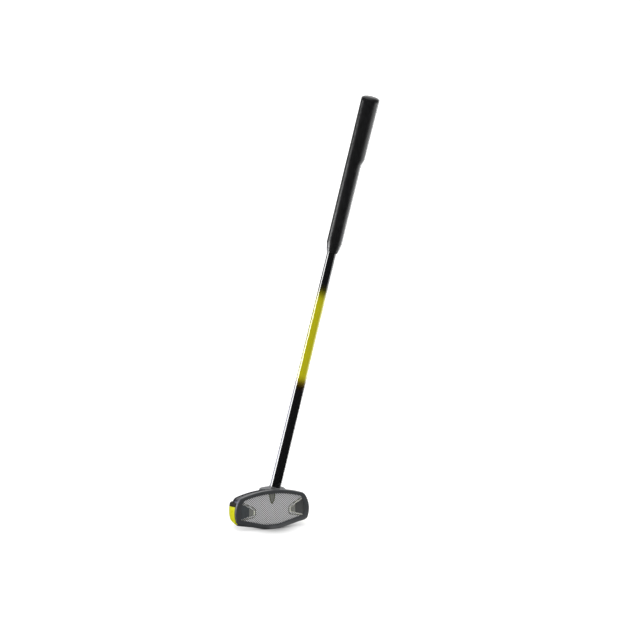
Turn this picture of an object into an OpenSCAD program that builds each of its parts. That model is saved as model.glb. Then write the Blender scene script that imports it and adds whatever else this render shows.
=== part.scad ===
// Right-handed ground golf club. The striking face looks along -Y and the toe is at -X.
// The origin is the middle of the sole's flat, where the shaft's axis meets the sole.

/* [Club] */
// Length from the sole to the top of the cap, along the shaft's axis
club_length = 880; // [800:10:920]
// Lean of the shaft from upright, towards the heel
shaft_lean = 14.3; // [10:0.1:20]

/* [Head] */
// Half of the head's width, toe to heel
head_half_width = 76.6; // [72:0.2:80]
// Height of the face frame at its middle
head_height = 79; // [76:1:82]
// Distance from the shaft's axis to the front of the face frame
head_front = 37; // [35:1:40]
// Distance from the shaft's axis to the back of the head
head_back = 35; // [33:1:40]
// Depth of the face frame
frame_depth = 8; // [7:0.5:12]
// Width of the frame's band at the toe and the heel
band_side = 10; // [8:0.5:11]
// Width of the frame's band at the bottom
band_low = 9.2; // [8:0.1:11]
// Width of the frame's band at the top
band_top = 7; // [6:0.5:8]
// Half of the crown's width, toe to heel
crown_half_width = 73; // [70:0.5:74]
// Height of the crown where it leaves the frame
crown_height = 74.8; // [73:0.2:75.6]
// Height at which the crown meets the bumper, over the middle of the sole
crown_split = 51.5; // [50:0.5:54]
// Height at which the bumper meets the lower cover, over the middle of the sole
cover_split = 44; // [41:0.5:46]
// Slope at which both of those parting lines fall towards the back
parting_slope = 10; // [0:1:12]
// Height at which the lower cover meets the sole plate
sole_split = 13; // [11:1:16]

/* [Face] */
// Thickness of the hitting plate
plate_thick = 3; // [2.4:0.1:4]
// Thickness of the woven sheet behind the plate
mesh_thick = 0.5; // [0.3:0.1:1]
// Thickness of the elastic sheet behind the woven one
cushion_thick = 2; // [1:0.1:2.2]
// Thickness of the dark end panels set into the plate
panel_thick = 1.4; // [1:0.1:2]
// Thickness of the pale lines set into the plate
mark_thick = 0.6; // [0.4:0.1:1]

/* [Shaft] */
// Shaft diameter at its foot
shaft_foot_d = 22.2; // [19:0.1:23]
// Shaft diameter under the grip
shaft_top_d = 19; // [16:0.1:20]
// Wall of the shaft's tube
shaft_wall = 1.4; // [1:0.1:2]

/* [Grip] */
// Length of the grip, cap included
grip_length = 320; // [290:1:330]
// Grip diameter above its lower bevel
grip_low_d = 30.2; // [28:0.1:32]
// Grip diameter at the cap, without the palm swell
grip_top_d = 31.6; // [30:0.1:34]
// Length of the palm swell, from the cap down
swell_length = 124; // [100:1:140]
// How far the palm swell stands out on the heel side
swell_out = 5.6; // [3:0.1:7]

/* [Hidden] */

black = [0.10, 0.10, 0.11];
navy = [0.15, 0.15, 0.18];
charcoal = [0.26, 0.27, 0.27];
yellow = [0.90, 0.88, 0.10];
mesh_grey = [0.60, 0.61, 0.61];
pale = [0.86, 0.85, 0.70];
maple = [0.80, 0.62, 0.40];

far = 400;
end_centre_z = 36;
body_end_z = 30;
turn_r = 55;
bar = 1.3;

// --- outlines of the head, in X and Z ---

function arc(c, r, a0, a1, n) =
    [for (i = [0:n]) let (a = a0 + (a1 - a0) * i / n) c + r * [cos(a), sin(a)]];
function mirrored(pts) = [for (i = [len(pts) - 1:-1:0]) [-pts[i][0], pts[i][1]]];
function angle_to(c, p) = atan2(p[1] - c[1], p[0] - c[0]);

// The point where two circles meet, on the right of the line from c1 to c2.
function circles_meet(c1, r1, c2, r2) =
    let (d = norm(c2 - c1), u = (c2 - c1) / d)
    let (m = (r1 * r1 - r2 * r2 + d * d) / (2 * d), h = sqrt(r1 * r1 - m * m))
    c1 + m * u + h * [u[1], -u[0]];

// The point where a line from p at angle a leaves the circle.
function line_leaves(p, a, c, r) =
    let (v = p - c, u = [cos(a), sin(a)], b = v * u)
    p + (sqrt(b * b - v * v + r * r) - b) * u;

// A low barrel shape: a flat, a gentle turn, rising sides, bowed ends and an arched top.
// The ends are upright between end_z and the height of their upper arc's centre.
function barrel(w, low, top, flat_half, rise, end_r, top_r, low_r, high_r, n,
                end_z = end_centre_z) =
    let (end_c = [w - end_r, end_centre_z], foot_c = [w - end_r, end_z])
    let (top_c = [0, top - top_r])
    let (turn_c = [flat_half, low + turn_r])
    let (start = turn_c + (turn_r - low_r) * [sin(rise), -cos(rise)])
    let (low_c = line_leaves(start, rise, foot_c, end_r - low_r))
    let (high_c = circles_meet(top_c, top_r - high_r, end_c, end_r - high_r))
    let (side = angle_to(end_c, high_c), up = angle_to(top_c, high_c))
    let (half = concat(arc(turn_c, turn_r, -90, rise - 90, n),
                       arc(low_c, low_r, rise - 90, angle_to(foot_c, low_c), n),
                       arc(foot_c, end_r, angle_to(foot_c, low_c) + 3, 0, n),
                       arc(end_c, end_r, 3, side - 3, n),
                       arc(high_c, high_r, side, up, n),
                       arc(top_c, top_r, up + 3, 87, n + 2)))
    concat(half, [[0, top]], mirrored(half));

outline = barrel(head_half_width, 0, head_height, 8, 14.5, 54, 188, 6, 7, 4);
opening = barrel(head_half_width - band_side, band_low, head_height - band_top,
                 6, 15.5, 52, 188, 4, 5, 3);
pocket = barrel(head_half_width - band_side + 3, band_low - 3, head_height - band_top + 3,
                6, 15, 53, 188, 5, 6, 3);
body_side = barrel(head_half_width + 0.4, 0, head_height - 1, 8, 10.5, 54, 188, 9, 7, 4,
                   body_end_z);
crown_side = barrel(crown_half_width, 0, crown_height, 8, 14.5, 54, 170, 6, 14, 4);
core_side = barrel(crown_half_width - 10, 7, crown_height - 6, 8, 10.5, 54, 155, 8, 22, 2);

lip = 2;
plate_front = -head_front + lip;
mesh_front = plate_front + plate_thick;
cushion_front = mesh_front + mesh_thick;
core_front = cushion_front + cushion_thick;
frame_back = -head_front + frame_depth;

// A slab with an outline in X and Z, from y0 to y1.
module slab(pts, y0, y1) {
    translate([0, y1, 0]) rotate([90, 0, 0]) linear_extrude(y1 - y0) polygon(pts);
}

// A solid through rings that all have the same number of points, and run anticlockwise
// as seen from where the first one faces.
module loft(rings) {
    n = len(rings[0]);
    last = len(rings) - 1;
    points = [for (ring = rings) for (p = ring) p];
    sides = [for (j = [0:last - 1]) for (i = [0:n - 1]) let (k = (i + 1) % n)
             for (tri = [[j * n + i, j * n + k, (j + 1) * n + k],
                         [j * n + i, (j + 1) * n + k, (j + 1) * n + i]]) tri];
    first_cap = [[for (i = [n - 1:-1:0]) i]];
    last_cap = [[for (i = [0:n - 1]) last * n + i]];
    polyhedron(points = points,
               faces = concat(sides, first_cap, last_cap));
}

// --- the rounded body behind the face frame ---

middle_z = 36;
body_depth = head_back - frame_back;
crown_inset = 4;
body_reach = 60;
body_stations = [0, 0.13, 0.26, 0.38, 0.5, 0.61, 0.71, 0.8, 0.88, 0.94, 0.98];

function fall(t, n) = pow(1 - pow(t, n), 1 / n);
function body_ring(pts, depth, t) =
    [for (p = pts)
     let (dz = p[1] - middle_z, squeeze = dz > 0 ? fall(t, 2.5) : fall(t, 4))
     [p[0] * fall(t, 4), frame_back + t * depth, middle_z + dz * squeeze]];

// The part of the body between two heights, each with the slope at which it falls.
module body_between(z0, slope0, z1, slope1, pts, depth) {
    drop0 = body_reach * tan(slope0);
    drop1 = body_reach * tan(slope1);
    intersection() {
        loft([for (t = body_stations) body_ring(pts, depth, t)]);
        rotate([90, 0, 90]) translate([0, 0, -far / 2]) linear_extrude(far)
            polygon([[-body_reach, z0 + drop0], [body_reach, z0 - drop0],
                     [body_reach, z1 - drop1], [-body_reach, z1 + drop1]]);
    }
}

// The block's plan: straight in front, with its back corners cut off.
core_half = crown_half_width - 10;
core_back = head_back - 10;
core_plan = [[-core_half, -far], [core_half, -far], [core_half, -8], [core_half - 10, 8],
             [core_half - 26, core_back], [26 - core_half, core_back], [10 - core_half, 8],
             [-core_half, -8]];
core_roof = [[-far, 0], [core_back + 5, 0], [core_back + 5, 44], [core_back, 46], [4, 64],
             [-12, crown_height - 6], [-far, crown_height - 6]];

module core_block() {
    intersection() {
        slab(core_side, frame_back, core_back);
        translate([0, 0, 1]) linear_extrude(head_height) polygon(core_plan);
        rotate([90, 0, 90]) translate([0, 0, -far / 2]) linear_extrude(far) polygon(core_roof);
    }
    slab(pocket, core_front, frame_back);
}

// --- places along the shaft's axis ---

module on_axis(s) {
    rotate([0, shaft_lean, 0]) translate([0, 0, s]) children();
}

shaft_foot = 18;
taper_top = 520;
shaft_end = club_length - 8;
grip_foot = club_length - grip_length;
plug_length = 60;
tape_thick = 0.4;
cap_height = 6;
bush_r = 12.8;
bush_foot = 62;
bush_top = 77.5;

function shaft_r(s) =
    (shaft_foot_d + (shaft_top_d - shaft_foot_d) * min(1, (s - shaft_foot) / (taper_top - shaft_foot))) / 2;

module shaft_solid(s0, s1) {
    on_axis(s0) cylinder(h = s1 - s0, r1 = shaft_r(s0), r2 = shaft_r(s1), $fn = 64);
}

// --- pieces of the head ---

weight_r = 8;
weight_length = 24;
weight_x = 48;
weight_z = 37;
pin_r = 2;
pin_z = 40;
pin_front = -17;
pin_back = 17;

screw_spots = [[-40, -14], [40, -14], [-32, 8], [32, 8]];
screw_r = 2;
screw_head_r = 4;
screw_head = 3;
screw_length = 22;
sole_rise = 10.5;
sole_flat = 14;
screw_seat = 1.5;
runner_half = 12;
runner_back = 12;
runner_high = 4;

module screw_place(spot) {
    low = (abs(spot[0]) - sole_flat) * tan(sole_rise);
    translate([spot[0], spot[1], low + screw_seat]) children();
}

module screw_body() {
    cylinder(h = screw_head, r1 = screw_head_r, r2 = screw_r, $fn = 32);
    cylinder(h = screw_length, r = screw_r, $fn = 32);
}

module weight_at(side) {
    translate([side * weight_x, core_front, weight_z]) rotate([-90, 0, 0])
        cylinder(h = weight_length, r = weight_r, $fn = 48);
}

module pin_at() {
    translate([pin_z * tan(shaft_lean), pin_front, pin_z]) rotate([-90, 0, 0])
        cylinder(h = pin_back - pin_front, r = pin_r, $fn = 32);
}

collar_y = 2;

// The collar's rings: height, toe end, heel end and half of the width, from the top down.
collar_rings = [[74, -12.6, 31, 11.2], [72.8, -13.6, 35.5, 12], [70.8, -14, 39.2, 12.6],
                [68.5, -14, 41.3, 13], [60, -14, 42, 13]];

function oval(z, toe, heel, wide) =
    [for (a = [0:10:350])
     [(toe + heel) / 2 + (heel - toe) / 2 * cos(a), collar_y + wide * sin(a), z]];

module collar_solid() {
    loft([for (ring = collar_rings) oval(ring[0], ring[1], ring[2], ring[3])]);
}

module bush_solid() {
    on_axis(bush_foot) cylinder(h = bush_top - bush_foot, r = bush_r, $fn = 64);
}

module head_core() {
    color(maple) difference() {
        core_block();
        shaft_solid(shaft_foot, 120);
        collar_solid();
        bush_solid();
        pin_at();
        for (side = [-1, 1]) weight_at(side);
        for (spot = screw_spots) screw_place(spot) screw_body();
    }
}

module face_cushion() {
    color("dimgray") slab(pocket, cushion_front, core_front);
}

module face_mesh() {
    color(mesh_grey) slab(pocket, mesh_front, cushion_front);
}

// Half of the pale outline round an end panel, on the heel side.
panel_in = 48.3;
panel_in_low = 29.7;
panel_in_high = 47;
panel_out_low = 22.8;
panel_out_high = 59.4;
mark_in = 37;
mark_low = 32.5;
mark_high = 40.3;
panel_out = 70;

panel_shape = [[panel_in, panel_in_low], [panel_out, panel_out_low],
               [panel_out, panel_out_high], [panel_in, panel_in_high]];
panel_ring = [[mark_in, mark_low], [panel_in, panel_in_low - bar],
              [panel_out, panel_out_low - bar], [panel_out, panel_out_high + bar],
              [panel_in, panel_in_high + bar], [mark_in, mark_high]];
mark_hole = [[mark_in + bar, mark_low + bar], [panel_in, panel_in_low + bar],
             [panel_in, panel_in_high - bar], [mark_in + bar, mark_high - bar]];

module on_side(side) {
    if (side > 0) children();
    else mirror([1, 0, 0]) children();
}

module panel_solid(side) {
    intersection() {
        on_side(side) slab(panel_shape, plate_front, plate_front + panel_thick);
        slab(opening, plate_front - 1, plate_front + panel_thick + 1);
    }
}

module outline_solid(side) {
    intersection() {
        on_side(side) difference() {
            slab(panel_ring, plate_front, plate_front + mark_thick);
            slab(mark_hole, plate_front - 1, plate_front + mark_thick + 1);
            slab(panel_shape, plate_front - 1, plate_front + mark_thick + 1);
        }
        slab(opening, plate_front - 1, plate_front + mark_thick + 1);
    }
}

// A small pennant at the top of the face, in line with its middle.
sight_outer = [[-6.5, 71], [-4.5, 58], [0, 50.5], [4.5, 58], [6.5, 71]];
sight_inner = [[-5, 72], [-3.2, 58.8], [0, 53.4], [3.2, 58.8], [5, 72]];
sight_slot = [[-0.9, 72], [-0.9, 59], [0.9, 59], [0.9, 72]];

module sight_solid() {
    difference() {
        slab(sight_outer, plate_front, plate_front + mark_thick);
        slab(sight_inner, plate_front - 1, plate_front + mark_thick + 1);
    }
    slab(sight_slot_clipped(), plate_front, plate_front + mark_thick);
}

function sight_slot_clipped() = [for (p = sight_slot) [p[0], min(p[1], 71)]];

module face_plate() {
    color(mesh_grey) difference() {
        slab(pocket, plate_front, mesh_front);
        for (side = [-1, 1]) panel_solid(side);
        for (side = [-1, 1]) outline_solid(side);
        sight_solid();
    }
}

module toe_panel() {
    color(navy) panel_solid(-1);
}

module heel_panel() {
    color(charcoal) panel_solid(1);
}

module panel_outlines() {
    color(pale) for (side = [-1, 1]) outline_solid(side);
}

module sight_mark() {
    color([0.35, 0.37, 0.25]) sight_solid();
}

module face_frame() {
    color(charcoal) difference() {
        slab(outline, -head_front, frame_back);
        slab(opening, -head_front - 1, plate_front + 1);
        slab(pocket, plate_front, frame_back + 1);
    }
}

module crown_cover() {
    color(navy) difference() {
        body_between(crown_split, parting_slope, head_height, 0,
                     crown_side, body_depth - crown_inset);
        core_block();
        collar_solid();
        bush_solid();
    }
}

module bumper() {
    color(black) difference() {
        body_between(cover_split, parting_slope, crown_split, parting_slope,
                     body_side, body_depth);
        core_block();
    }
}

module back_cover() {
    color(yellow) difference() {
        body_between(sole_split, 0, cover_split, parting_slope, body_side, body_depth);
        core_block();
    }
}

module hosel_collar() {
    color([0.55, 0.56, 0.56]) difference() {
        collar_solid();
        bush_solid();
    }
}

module hosel_bush() {
    color(black) difference() {
        bush_solid();
        shaft_solid(shaft_foot, 120);
    }
}

// The flat under the middle of the sole, on which the club stands.
module sole_runner() {
    translate([-runner_half, frame_back, 0])
        cube([2 * runner_half, runner_back - frame_back, runner_high]);
}

module sole_plate() {
    color(black) difference() {
        union() {
            body_between(-1, 0, sole_split, 0, body_side, body_depth);
            sole_runner();
        }
        core_block();
        for (spot = screw_spots) screw_place(spot) {
            screw_body();
            translate([0, 0, -6]) cylinder(h = 6, r = screw_head_r, $fn = 32);
        }
    }
}

module sole_screws() {
    color("silver") for (spot = screw_spots) screw_place(spot) difference() {
        screw_body();
        translate([0, 0, -1]) cylinder(h = 2.6, r = 1.9, $fn = 6);
    }
}

module toe_weight() {
    color("slategray") weight_at(-1);
}

module heel_weight() {
    color("slategray") weight_at(1);
}

// --- shaft and grip ---

module shaft() {
    color(yellow) difference() {
        on_axis(0) rotate_extrude($fn = 64) polygon([
            [shaft_r(shaft_foot) - shaft_wall, shaft_foot], [shaft_r(shaft_foot), shaft_foot],
            [shaft_r(taper_top), taper_top], [shaft_r(taper_top), shaft_end],
            [shaft_r(taper_top) - shaft_wall, shaft_end],
            [shaft_r(taper_top) - shaft_wall, taper_top]]);
        pin_at();
    }
}

module shaft_plug() {
    color(maple) difference() {
        on_axis(shaft_foot) cylinder(h = plug_length, r1 = shaft_r(shaft_foot) - shaft_wall,
                                     r2 = shaft_r(shaft_foot + plug_length) - shaft_wall, $fn = 64);
        pin_at();
    }
}

module shaft_pin() {
    color("silver") pin_at();
}

module grip_tape() {
    inner = shaft_r(taper_top);
    color("beige") on_axis(grip_foot + 4) difference() {
        cylinder(h = shaft_end - grip_foot - 4, r = inner + tape_thick, $fn = 64);
        translate([0, 0, -1]) cylinder(h = far, r = inner, $fn = 64);
    }
}

grip_top = club_length - cap_height;
bevel_length = 20;
swell_blend = 16;
swell_start = club_length - swell_length;
grip_bore_r = shaft_top_d / 2 + tape_thick;

function smooth(t) = let (c = min(1, max(0, t))) c * c * (3 - 2 * c);
function grip_r(s) =
    let (full = (grip_low_d + (grip_top_d - grip_low_d) * (s - grip_foot) / grip_length) / 2)
    let (t = min(1, (s - grip_foot) / bevel_length))
    grip_bore_r + 0.6 + (full - grip_bore_r - 0.6) * pow(t, 0.75);
function swell(s) =
    smooth((s - swell_start + swell_blend) / swell_blend)
    * (swell_out - 1 + max(0, s - swell_start) / swell_length);

// A round section that bulges towards the heel, shrunk by a factor for the cap's dome.
function grip_ring(s, z, shrink) =
    let (r = grip_r(s), w = swell(s))
    [for (a = [350:-10:0]) [w / 2 + (r + w / 2) * cos(a) * shrink, r * sin(a) * shrink, z]];

grip_stations = concat([0, 2, 5, 9, 14, 20, 60, 120, grip_length - swell_length - swell_blend],
                       [for (i = [1:4]) grip_length - swell_length - swell_blend + 4 * i],
                       [grip_length - 60, grip_length - cap_height]);

module grip() {
    color(black) difference() {
        on_axis(grip_foot) loft([for (h = grip_stations) grip_ring(grip_foot + h, h, 1)]);
        on_axis(grip_foot - 1) cylinder(h = far, r = grip_bore_r, $fn = 64);
    }
}

stem_r = 4;
stem_length = 14;

module grip_cap() {
    color(black) union() {
        on_axis(grip_top) loft([for (a = [0:15:90])
            grip_ring(grip_top, cap_height * sin(a), 1 - 0.62 * (1 - cos(a)))]);
        on_axis(shaft_end) cylinder(h = grip_top - shaft_end + 0.5, r = grip_bore_r, $fn = 64);
        on_axis(shaft_end - stem_length) cylinder(h = stem_length + 1, r = stem_r, $fn = 32);
    }
}

module butt_plug() {
    color(maple) on_axis(shaft_end - 30) difference() {
        cylinder(h = 30, r = shaft_top_d / 2 - shaft_wall, $fn = 64);
        translate([0, 0, 30 - stem_length]) cylinder(h = far, r = stem_r, $fn = 32);
    }
}

head_core();
face_cushion();
face_mesh();
face_plate();
toe_panel();
heel_panel();
panel_outlines();
sight_mark();
face_frame();
crown_cover();
bumper();
back_cover();
hosel_collar();
hosel_bush();
sole_plate();
sole_screws();
toe_weight();
heel_weight();
shaft();
shaft_plug();
shaft_pin();
grip_tape();
grip();
grip_cap();
butt_plug();
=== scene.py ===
"""Looks of a ground golf club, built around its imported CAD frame.

Metres, +Z up. The striking face looks along -Y, the toe is at -X and the shaft leans to +X.
Sizes are written in millimetres, with the CAD source's values, and scaled when a mesh is made.
"""
import math

import bmesh
import bpy
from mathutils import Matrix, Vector


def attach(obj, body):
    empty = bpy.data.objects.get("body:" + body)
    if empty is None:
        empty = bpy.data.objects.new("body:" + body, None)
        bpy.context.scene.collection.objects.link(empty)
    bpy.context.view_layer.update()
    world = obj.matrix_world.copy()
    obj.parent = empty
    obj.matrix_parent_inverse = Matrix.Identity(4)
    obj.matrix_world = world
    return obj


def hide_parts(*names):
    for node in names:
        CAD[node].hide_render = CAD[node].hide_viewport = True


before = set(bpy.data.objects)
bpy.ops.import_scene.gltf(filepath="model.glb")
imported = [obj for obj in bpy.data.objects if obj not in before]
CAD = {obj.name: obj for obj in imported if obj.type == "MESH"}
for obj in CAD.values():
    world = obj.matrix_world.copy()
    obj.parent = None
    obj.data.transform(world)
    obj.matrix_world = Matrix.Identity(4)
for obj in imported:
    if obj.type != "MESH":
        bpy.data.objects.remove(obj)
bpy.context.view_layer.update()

MM = 0.001

# --- driving sizes, in millimetres ---

LEAN = math.radians(14.3)        # the shaft's lean towards the heel
FACE_Y = -37                     # front of the face frame
SEAM_Y = -29                     # where the frame meets the body
PLATE_Y = -35                    # front of the hitting plate
MESH_Y = -32                     # back of the hitting plate
BODY_DEPTH = 64                  # from the seam to the back of the head
CROWN_DEPTH = 60
MIDDLE_Z = 36                    # height of the head's widest line
TURN_R = 55                      # how gently the sole turns up
SOLE_Z, COVER_Z, LEDGE_Z = 13, 44, 51.5   # parting lines of the body, over its middle
SLOPE = math.tan(math.radians(10))      # how the upper two fall towards the back
ARCH, ROUNDING = 2.5, 4          # how full the body is above its widest line, and all round
SHAFT_FOOT, TAPER_TOP, SHAFT_END = 18, 520, 872
SHAFT_FOOT_R, SHAFT_TOP_R, SHAFT_WALL = 11.1, 9.5, 1.4
GRIP_FOOT, GRIP_TOP, CLUB_TOP = 560, 874, 880
GRIP_BORE_R, GRIP_BEVEL = 9.9, 20
GRIP_LOW_R, GRIP_HIGH_R = 15.1, 15.8
SWELL_START, SWELL_BLEND, SWELL_OUT = 756, 16, 5.6
SCREWS = [(-40, -14), (40, -14), (-32, 8), (32, 8)]
COLLAR_Y = 2                     # the collar's middle, behind the shaft's axis
TOE, HEEL = -1, 1                # the two sides, as the sign of x
HAIR = 0.02                      # keeps a surface just clear of its neighbour
CREASE = 38                      # edges that bend by more degrees than this stay sharp
TURN_STEPS, GRIP_STEPS = 96, 120


# --- outlines, as lists of (x, z) ---

def arc(centre, r, start, end, count):
    """count steps along an arc, from start to end in degrees."""
    angles = [math.radians(start + (end - start) * i / count) for i in range(count + 1)]
    return [(centre[0] + r * math.cos(a), centre[1] + r * math.sin(a)) for a in angles]


def circle(r, count):
    """count points round a circle about the origin."""
    angles = [math.tau * i / count for i in range(count)]
    return [(r * math.cos(a), r * math.sin(a)) for a in angles]


def line(a, b, count):
    """count equal steps along a straight line."""
    return [tuple(p + (q - p) * i / count for p, q in zip(a, b)) for i in range(count + 1)]


def angle_to(c, p):
    """The direction of p as seen from c, in degrees."""
    return math.degrees(math.atan2(p[1] - c[1], p[0] - c[0]))


def circles_meet(c1, r1, c2, r2):
    """Where two circles meet, on the right of the line from c1 to c2."""
    d = math.dist(c1, c2)
    ux, uz = (c2[0] - c1[0]) / d, (c2[1] - c1[1]) / d
    m = (r1 * r1 - r2 * r2 + d * d) / (2 * d)
    h = math.sqrt(r1 * r1 - m * m)
    return (c1[0] + m * ux + h * uz, c1[1] + m * uz - h * ux)


def line_leaves(p, a, c, r):
    """Where a line from p, at angle a, leaves a circle."""
    vx, vz, ux, uz = p[0] - c[0], p[1] - c[1], math.cos(a), math.sin(a)
    b = vx * ux + vz * uz
    far = math.sqrt(b * b - vx * vx - vz * vz + r * r) - b
    return (p[0] + far * ux, p[1] + far * uz)


def barrel(w, low, top, flat_half, rise, end_r, top_r, low_r, high_r, end_z=MIDDLE_Z):
    """The right half of a low barrel shape, from its lowest middle point to its apex.

    Its ends are upright between end_z and the head's widest line, where the upper arc starts
    a little up so that no point is doubled.
    """
    end_c, top_c, turn_c = (w - end_r, MIDDLE_Z), (0, top - top_r), (flat_half, low + TURN_R)
    foot_c = (w - end_r, end_z)
    a = math.radians(rise)
    start = (turn_c[0] + (TURN_R - low_r) * math.sin(a), turn_c[1] - (TURN_R - low_r) * math.cos(a))
    low_c = line_leaves(start, a, foot_c, end_r - low_r)
    high_c = circles_meet(top_c, top_r - high_r, end_c, end_r - high_r)
    below, side, up = angle_to(foot_c, low_c), angle_to(end_c, high_c), angle_to(top_c, high_c)
    turn = arc(turn_c, TURN_R, -90, rise - 90, 6)
    corner = arc(low_c, low_r, rise - 90, below, 7)
    return (line((0, low), turn[0], 3)[:-1] + turn + line(turn[-1], corner[0], 16)[1:-1] + corner
            + arc(foot_c, end_r, below, 0, 10)[1:] + arc(end_c, end_r, 0.3, side, 10)
            + arc(high_c, high_r, side, up, 7)[1:]
            + arc(top_c, top_r, up, 90, 26)[1:])


def whole(half):
    """A closed outline from its right half, anticlockwise as seen from the front."""
    return half + [(-x, z) for x, z in half[-2:0:-1]]


# half width, lowest and highest point, flat half, rise, then the radii of the end, the top and
# the two corners
FRAME_HALF = barrel(77.0, 0, 79.2, 8, 14.5, 52, 188, 6, 7)
OPENING_HALF = barrel(66.6, 9.2, 72, 6, 15.5, 52, 188, 4, 5)
POCKET_HALF = barrel(69.6, 6.2, 75, 6, 15, 53, 188, 5, 6)
BODY_HALF = barrel(77.2, 0, 78, 8, 10.5, 54, 188, 9, 7, end_z=30)
CROWN_WALL = 2.2
CROWN_HALF, CROWN_INSIDE = [barrel(73 - d, 0, 74.8 - d, 8, 14.5, 54 - d, 170 - d, 6, 14 - d)
                            for d in (0, CROWN_WALL)]


def inset(ring, d):
    """A closed anticlockwise outline moved inwards by d, with mitred corners."""
    out = []
    for (x0, z0), (x1, z1), (x2, z2) in zip(ring[-1:] + ring[:-1], ring, ring[1:] + ring[:1]):
        n1, n2 = Vector((z0 - z1, x1 - x0)).normalized(), Vector((z1 - z2, x2 - x1)).normalized()
        n = n1 + n2
        n *= d / max(0.6, n.dot(n1))
        out.append((x1 + n.x, z1 + n.y))
    return out


def span(ring, x):
    """The lowest and highest z of a closed outline at x."""
    hits = [z0 + (z1 - z0) * (x - x0) / (x1 - x0)
            for (x0, z0), (x1, z1) in zip(ring, ring[1:] + ring[:1])
            if x0 != x1 and (x0 - x) * (x1 - x) <= 0]
    return min(hits), max(hits)


def half_width(half, z):
    """Half of the width, at height z, of an outline that rises from its first point."""
    for (x0, z0), (x1, z1) in zip(half, half[1:]):
        if z0 <= z <= z1 and z1 > z0:
            return x0 + (x1 - x0) * (z - z0) / (z1 - z0)
    return 0 if z > MIDDLE_Z else half[0][0]


def resample(path, count):
    """count points at even distances along an open path."""
    far = [0]
    for a, b in zip(path, path[1:]):
        far.append(far[-1] + math.dist(a, b))
    out, k = [], 0
    for i in range(count):
        want = far[-1] * i / (count - 1)
        while k < len(path) - 2 and far[k + 1] < want:
            k += 1
        f = (want - far[k]) / max(1e-9, far[k + 1] - far[k])
        out.append(tuple(p + (q - p) * f for p, q in zip(path[k], path[k + 1])))
    return out


# --- meshes ---

def quads(rows, wrap_row, wrap_all):
    """Faces between neighbouring rows of points; rows may close on themselves or on each other."""
    n, faces = len(rows[0]), []
    pairs = [(j, j + 1) for j in range(len(rows) - 1)] + ([(len(rows) - 1, 0)] if wrap_all else [])
    for j, k in pairs:
        for i in range(n if wrap_row else n - 1):
            m = (i + 1) % n
            faces.append((j * n + i, j * n + m, k * n + m, k * n + i))
    return faces


def loft(rows, wrap_row=False, wrap_all=False, cap_rows=False, cap_sides=False):
    """Points and faces through rows. Caps close the first and last row, or the rows' two ends."""
    points = [p for row in rows for p in row]
    faces = quads(rows, wrap_row, wrap_all)
    n, last = len(rows[0]), (len(rows) - 1) * len(rows[0])
    if cap_rows:
        faces += [tuple(reversed(range(n))), tuple(last + i for i in range(n))]
    if cap_sides:
        faces += [tuple(j * n for j in range(len(rows))),
                  tuple(j * n + n - 1 for j in reversed(range(len(rows))))]
    return points, faces


def merged(*parts):
    """Several (points, faces) as one."""
    points, faces = [], []
    for p, f in parts:
        faces += [tuple(len(points) + i for i in face) for face in f]
        points += p
    return points, faces


def new_mesh(name, shape):
    """A mesh from (points, faces) in millimetres, welded and with its faces turned outwards."""
    points, faces = shape
    mesh = bpy.data.meshes.new(name)
    mesh.from_pydata([tuple(c * MM for c in p) for p in points], [], faces)
    bm = bmesh.new()
    bm.from_mesh(mesh)
    bmesh.ops.remove_doubles(bm, verts=bm.verts, dist=2e-6)
    bmesh.ops.dissolve_degenerate(bm, edges=bm.edges, dist=1e-6)
    bmesh.ops.recalc_face_normals(bm, faces=bm.faces)
    bm.to_mesh(mesh)
    bm.free()
    return mesh


def piece(name, shape, material, slot, *nodes, sharp=CREASE):
    """A piece of the object, riding on the one body, in place of the CAD nodes named."""
    mesh = new_mesh(name, shape)
    mesh.shade_smooth()
    mesh.set_sharp_from_angle(angle=math.radians(sharp))
    mesh.materials.append(material)
    obj = bpy.data.objects.new(name, mesh)
    bpy.context.scene.collection.objects.link(obj)
    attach(obj, "root")
    if nodes:
        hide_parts(*nodes)
    return obj


def cut(obj, *shapes):
    """Takes closed shapes, in millimetres, out of a piece."""
    for shape in shapes:
        mesh = new_mesh("cutter", shape)
        cutter = bpy.data.objects.new("cutter", mesh)
        bpy.context.scene.collection.objects.link(cutter)
        mod = obj.modifiers.new("cut", "BOOLEAN")
        mod.operation, mod.solver, mod.object = "DIFFERENCE", "EXACT", cutter
        graph = bpy.context.evaluated_depsgraph_get()
        result = bpy.data.meshes.new_from_object(obj.evaluated_get(graph))
        obj.modifiers.clear()
        obj.data = result
        bpy.data.objects.remove(cutter)
        bpy.data.meshes.remove(mesh)
    obj.data.set_sharp_from_angle(angle=math.radians(CREASE))


def at_y(ring, y):
    """An outline of (x, z) as points on a plane across the head."""
    return [(x, y, z) for x, z in ring]


def slab(ring, front, back, edge):
    """A closed outline as a slab from front to back in y, with a rounded front edge."""
    rows = [at_y(ring, back)]
    for i in range(4):
        a = math.radians(30 * i)
        rows.append(at_y(inset(ring, edge * (1 - math.cos(a))), front + edge * (1 - math.sin(a))))
    return loft(rows, wrap_row=True, cap_rows=True)


def ribbon(path, width, front, back):
    """A raised line of this width along an open path on the face, with sloping sides."""
    shoulder, rows = front + 0.25, []
    for share, y in ((0.5, back), (0.5, shoulder), (0.36, front), (-0.36, front),
                     (-0.5, shoulder), (-0.5, back)):
        row = []
        for i, (x, z) in enumerate(path):
            a, b = path[max(0, i - 1)], path[min(i + 1, len(path) - 1)]
            n1, n2 = Vector((a[1] - z, x - a[0])), Vector((z - b[1], b[0] - x))
            n1, n2 = (n1 if n1.length else n2).normalized(), (n2 if n2.length else n1).normalized()
            n = n1 + n2
            n *= width * share / max(0.5, n.dot(n1))
            row.append((x + n.x, y, z + n.y))
        rows.append(row)
    return loft(rows, wrap_all=True, cap_sides=True)


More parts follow.
